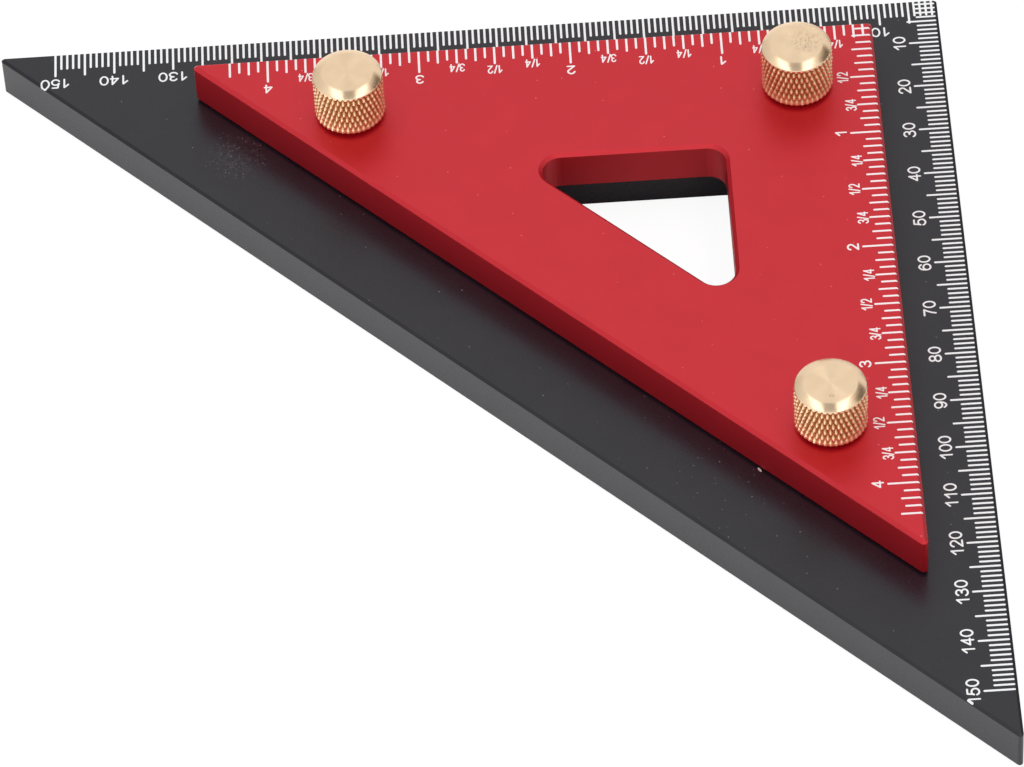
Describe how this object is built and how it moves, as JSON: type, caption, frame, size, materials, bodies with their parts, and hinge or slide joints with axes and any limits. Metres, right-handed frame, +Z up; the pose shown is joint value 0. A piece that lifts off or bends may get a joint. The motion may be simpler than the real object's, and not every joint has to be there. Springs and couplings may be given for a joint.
{
  "type": "stacked triangle square",
  "caption": "Small triangular square clamped on a larger one by knurled thumb screws, with graduated legs, a step along both legs and a finger window.",
  "frame": {"origin": "centre of the bounding box's bottom face, on the base plate's underside", "axes": "+Z up out of the plates' faces; the right-angle corner points to +X +Y, with one graduated leg along X on the +Y side and the other along Y on the +X side"},
  "size_m": [0.1592, 0.1592, 0.0256],
  "materials": {
    "black_anodised": "satin black anodised plate",
    "red_anodised": "satin red anodised plate",
    "brass": "turned and knurled bright brass",
    "steel": "plain threaded steel"
  },
  "bodies": {
    "base": {"base_plate": "black_anodised"},
    "upper": {"upper_plate": "red_anodised"},
    "corner_stud": {"corner_stud": "steel"},
    "corner_knob": {"corner_knob": "brass"},
    "x_leg_stud": {"x_leg_stud": "steel"},
    "x_leg_knob": {"x_leg_knob": "brass"},
    "y_leg_stud": {"y_leg_stud": "steel"},
    "y_leg_knob": {"y_leg_knob": "brass"}
  },
  "joints": [
    {"name": "upper_plate_lift", "type": "slide", "parent": "base", "child": "upper", "axis": [0, 0, 1], "range_m": [0, 0.02]},
    {"name": "corner_screw_rise", "type": "slide", "parent": "upper", "child": "corner_stud", "axis": [0, 0, 1], "range_m": [0, 0.007]},
    {"name": "corner_knob_turn", "type": "hinge", "parent": "corner_stud", "child": "corner_knob", "pos_m": [0.05421, 0.05421, 0.016], "axis": [0, 0, 1], "range_deg": [0, 3140]},
    {"name": "x_leg_screw_rise", "type": "slide", "parent": "upper", "child": "x_leg_stud", "axis": [0, 0, 1], "range_m": [0, 0.007]},
    {"name": "x_leg_knob_turn", "type": "hinge", "parent": "x_leg_stud", "child": "x_leg_knob", "pos_m": [-0.02039, 0.05421, 0.016], "axis": [0, 0, 1], "range_deg": [0, 3140]},
    {"name": "y_leg_screw_rise", "type": "slide", "parent": "upper", "child": "y_leg_stud", "axis": [0, 0, 1], "range_m": [0, 0.007]},
    {"name": "y_leg_knob_turn", "type": "hinge", "parent": "y_leg_stud", "child": "y_leg_knob", "pos_m": [0.05421, -0.02039, 0.016], "axis": [0, 0, 1], "range_deg": [0, 3140]}
  ],
  "couplings": [
    {"joint": "corner_screw_rise", "follows": "corner_knob_turn", "m_per_rad": 0.00012732},
    {"joint": "x_leg_screw_rise", "follows": "x_leg_knob_turn", "m_per_rad": 0.00012732},
    {"joint": "y_leg_screw_rise", "follows": "y_leg_knob_turn", "m_per_rad": 0.00012732}
  ]
}
